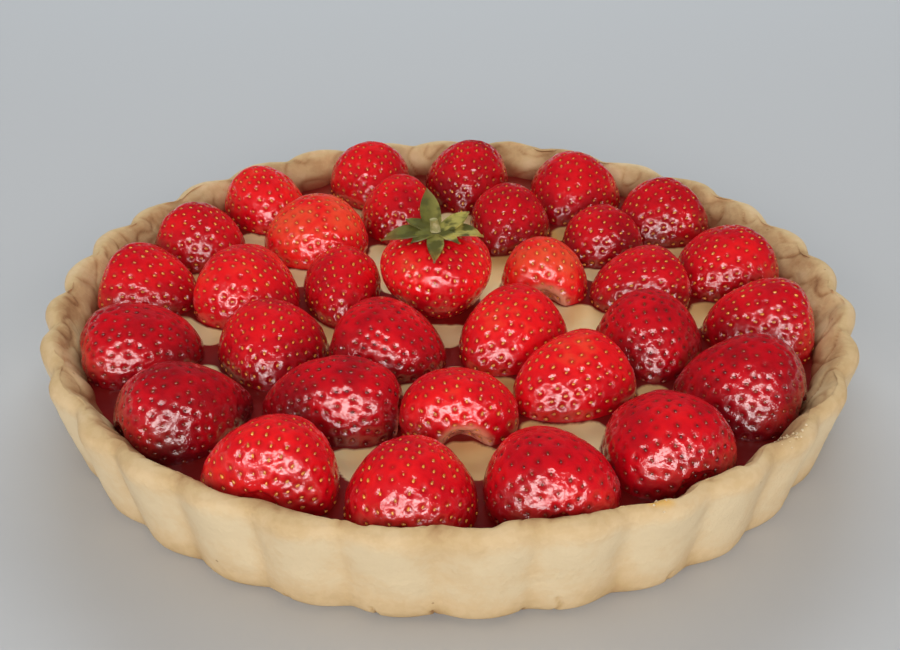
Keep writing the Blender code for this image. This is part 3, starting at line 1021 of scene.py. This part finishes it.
# %% [markdown]
# ## Leaves and stalk
# The crown berry keeps its leaves: eight pointed sepals that spread from the stalk, some drooping over
# the shoulder and one standing up behind. Each is a small grid, narrowed to a point, folded along its
# midrib and bent. The sheet then gets its thickness. The stalk is a short cut stub.

# %% Leaves
LEAVES = (  # direction, length, half width, rise of the point, in degrees and millimetres
    (-3, 15.0, 2.6, -2.8),
    (48, 9.5, 2.2, -0.8),
    (86, 14.5, 4.0, -0.8),
    (122, 12.5, 3.2, 3.0),
    (-165, 14.0, 3.2, 8.0),
    (-122, 10.5, 2.6, 1.6),
    (-84, 16.5, 4.2, -2.4),
    (-48, 9.5, 2.4, -0.8),
)
LEAF_THICKNESS = 0.45 * MM
LEAF_START = 0.8 * MM  # from the middle of the stalk
crown_low, crown_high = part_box("berry_crown")
crown_middle = (crown_low + crown_high) / 2
HUB = Vector((crown_middle.x, crown_middle.y, crown_high.z + 0.9 * MM))


def add_leaf(bm, direction, length, half_width, rise, seed):
    """A pointed, folded and bent leaf from the hub outwards, as one sheet."""
    made = bmesh.ops.create_grid(bm, x_segments=14, y_segments=6, size=0.5)
    heading = math.radians(direction)
    outward = Vector((math.sin(heading), -math.cos(heading), 0.0))
    across = Vector((-outward.y, outward.x, 0.0))
    for vert in made["verts"]:
        share, side = vert.co.x + 0.5, 2 * vert.co.y
        width = half_width * 1.27 * (0.45 + 1.15 * share) * (1 - share**2.2) ** 1.1 + 0.04 * MM
        wave = 0.35 * MM * noise.noise(Vector((share * 3, side, seed)))
        bend = rise * share**1.7 + 0.9 * MM * math.sin(math.pi * share) + 0.5 * MM * side * side * share
        swing = 0.8 * MM * math.sin(2.2 * seed + 2.5 * share) * share
        reach = LEAF_START + (length - LEAF_START) * share
        vert.co = HUB + outward * reach + across * (side * width + swing)
        vert.co.z += bend + wave


bm = bmesh.new()
for number, (direction, length, half_width, rise) in enumerate(LEAVES):
    add_leaf(bm, direction, length * MM, half_width * MM, rise * MM, seed=1.7 * number)
bmesh.ops.recalc_face_normals(bm, faces=bm.faces)
for face in bm.faces:
    if face.normal.z < 0:
        face.normal_flip()
bmesh.ops.solidify(bm, geom=bm.faces, thickness=-LEAF_THICKNESS)
leaf_mesh = mesh_from(bm, "calyx_leaves")
leaf_points = points_of(leaf_mesh)
paint(leaf_mesh, "sunlit", smooth_step(leaf_points[:, 0], HUB.x - 3 * MM, HUB.x + 5 * MM))
paint(leaf_mesh, "reach", np.linalg.norm((leaf_points - np.array(HUB))[:, :2], axis=1) / (14 * MM))
print("leaves:", len(LEAVES), "with", len(leaf_mesh.polygons), "faces in all")

# %% [markdown]
# ## Leaf finish
# The leaves are olive, and paler on the sunlit side. Soft patches keep the green uneven, and the tips
# have begun to dry.

# %% Leaf material
leaf, tree, shader = new_material("leaf", Roughness=0.55)
spot = object_spot(tree)
green = mix_colours(tree, painted(tree, "sunlit"), rgb(0.145, 0.14, 0.024), rgb(0.42, 0.36, 0.08))
green = mix_colours(tree, patches(tree, spot, 260.0), green, rgb(0.09, 0.085, 0.014))
tip = place(tree, "ShaderNodeMapRange", Value=painted(tree, "reach"), From_Min=0.75, From_Max=1.05)
dried = calculate(tree, "MULTIPLY", tip.outputs["Result"], 0.5)
green = mix_colours(tree, dried, green, rgb(0.30, 0.12, 0.03))
tree.links.new(green, shader.inputs["Base Color"])
bump(tree, shader, grain(tree, spot, 700.0), 0.5, 0.3 * MM)
finish_piece("calyx_leaves", leaf_mesh, leaf, ["calyx"])

# %% [markdown]
# ## Stalk
# The stalk stands on the hub. It is a short cone that leans more with height, and its skin is uneven.

# %% Stalk
STALK_RADIUS = 1.2 * MM
STALK_HEIGHT = 5.2 * MM
STALK_LEAN_X, STALK_LEAN_Y = -0.6 * MM, -0.4 * MM
bm = bmesh.new()
bmesh.ops.create_cone(
    bm,
    cap_ends=True,
    segments=16,
    radius1=1.5 * STALK_RADIUS,
    radius2=STALK_RADIUS,
    depth=STALK_HEIGHT,
)
upright = [edge for edge in bm.edges if abs(edge.verts[0].co.z - edge.verts[1].co.z) > MM]
bmesh.ops.subdivide_edges(bm, edges=upright, cuts=6)
for vert in bm.verts:
    rise = vert.co.z / STALK_HEIGHT + 0.5
    vert.co.x += STALK_LEAN_X * rise**2
    vert.co.y += STALK_LEAN_Y * rise**2
    vert.co.xy *= 1 + 0.06 * noise.noise(vert.co * 900)
bmesh.ops.translate(bm, vec=HUB + Vector((0, 0, STALK_HEIGHT / 2 - 0.6 * MM)), verts=bm.verts)
stalk_finish, tree, shader = new_material("stalk", Roughness=0.5)
spot = object_spot(tree)
pale = mix_colours(tree, patches(tree, spot, 500.0), rgb(0.46, 0.40, 0.20), rgb(0.30, 0.27, 0.09))
tree.links.new(pale, shader.inputs["Base Color"])
finish_piece("calyx_stalk", mesh_from(bm, "calyx_stalk"), stalk_finish, sharp_angle=40)

# %% [markdown]
# ## Crumbs
# A few crumbs of the dough lie on the lip. Each is a small rounded lump, squashed and turned by a seeded
# generator, and dropped onto the shell from above.

# %% Crumbs
CRUMB_HEAPS = (  # degrees from the front, distance in from the rim, spread, how many are dropped
    (49, 5.5 * MM, 2.6 * MM, 26),
    (YOLK_ANGLE, 5 * MM, 1.6 * MM, 7),
)


def crumb_matrices(middle, spread, count, rng, tree):
    """Places for crumbs round a spot of the lip, standing on the surface below them."""
    matrices = []
    for _ in range(count):
        x, y = rng.normal(0, 1, 2) * spread
        hit = tree.ray_cast(Vector(middle) + Vector((x, y, 0.05)), Vector((0, 0, -1)))[0]
        if hit is None or hit.z < 0.85 * SHELL_HEIGHT:
            continue
        size = rng.uniform(0.35, 1.0) * MM
        turn = Matrix.Rotation(rng.uniform(0, math.tau), 4, "Z")
        turn = turn @ Matrix.Rotation(rng.uniform(0, 1), 4, "X")
        squash = Matrix.Diagonal((size, size * rng.uniform(0.6, 1.0), size * rng.uniform(0.5, 0.9), 1))
        matrices.append(Matrix.Translation(hit + Vector((0, 0, 0.25 * size))) @ turn @ squash)
    return matrices


crust_faces = [face.vertices for face in crust_mesh.polygons]
shell_tree = BVHTree.FromPolygons(points_of(crust_mesh).tolist(), crust_faces)
matrices = []
for angle, inset, spread, count in CRUMB_HEAPS:
    matrices += crumb_matrices(spot_on_lip(angle, RIM_RADIUS - inset), spread, count, rng, shell_tree)
lump = bmesh.new()
bmesh.ops.create_icosphere(lump, subdivisions=2, radius=0.5)
for vert in lump.verts:
    vert.co *= 1 + 0.25 * noise.noise(vert.co * 3.0)
finish_piece("crust_crumbs", scatter("crust_crumbs", lump, matrices), shortcrust)
lump.free()
print("crumbs:", len(matrices))

# %% [markdown]
# ## Floor and light
# The tart stands on a plain pale surface. A window behind the viewer lights its near side, and softer
# lights from the sides, the back and above fill the shadows. They are kept out of the reflections,
# because a dark red berry shows every extra light as a grey veil. One long window does the opposite: the
# glaze mirrors it as bright glints on the near side of each berry, and it adds no light of its own.

# %% Floor, lights and sky
bm = bmesh.new()
bmesh.ops.create_grid(bm, x_segments=1, y_segments=1, size=3.0)
floor = bpy.data.objects.new("floor", mesh_from(bm, "floor"))
bpy.context.scene.collection.objects.link(floor)
floor.location.z = -0.2 * MM
floor_finish, tree, shader = new_material("floor", Roughness=0.9)
shader.inputs["Base Color"].default_value = rgb(0.50, 0.505, 0.51)
floor.data.materials.append(floor_finish)


def window(name, place_at, size, power, colour, mirrored=False, lights=True):
    """A soft rectangular light facing the tart: mirrored in the glaze, lighting the tart, or both."""
    data = bpy.data.lights.new(name, "AREA")
    data.shape = "RECTANGLE"
    data.size, data.size_y = size
    data.energy = power
    data.color = colour
    light = bpy.data.objects.new(name, data)
    light.location = place_at
    light.rotation_euler = (Vector((0, 0, 0.02)) - Vector(place_at)).to_track_quat("-Z", "Y").to_euler()
    light.visible_glossy = mirrored
    light.visible_diffuse = lights
    bpy.context.scene.collection.objects.link(light)


window("front_window", (-0.04, -1.12, 0.52), (1.00, 0.50), 12.4, (1.0, 0.98, 0.95))
seen_colour = (1.0, 0.98, 0.96)
window("seen_window", (-0.08, -1.12, 0.52), (1.80, 0.50), 22.0, seen_colour, mirrored=True, lights=False)
window("left_fill", (-1.20, 0.05, 0.50), (1.0, 1.0), 4.4, (1.0, 0.92, 0.88))
window("right_fill", (1.20, 0.05, 0.50), (1.0, 1.0), 5.0, (1.0, 0.90, 0.84))
window("back_fill", (0.0, 1.30, 0.90), (1.2, 0.8), 18.5, (0.82, 0.92, 1.0))
window("top_fill", (0.0, 0.10, 1.20), (1.0, 1.0), 2.2, (1.0, 0.98, 0.94))

world = bpy.data.worlds.new("room")
bpy.context.scene.world = world
world.use_nodes = True
sky = world.node_tree.nodes["Background"]
sky.inputs["Color"].default_value = rgb(0.86, 0.93, 1.0)
sky.inputs["Strength"].default_value = 0.05
bpy.context.scene.view_settings.view_transform = "Standard"

# %% [markdown]
# ## Update the view layer
# The dressed tart keeps the construction model's size. The view layer is updated once more.

# %% Update the view layer
bpy.context.view_layer.update()
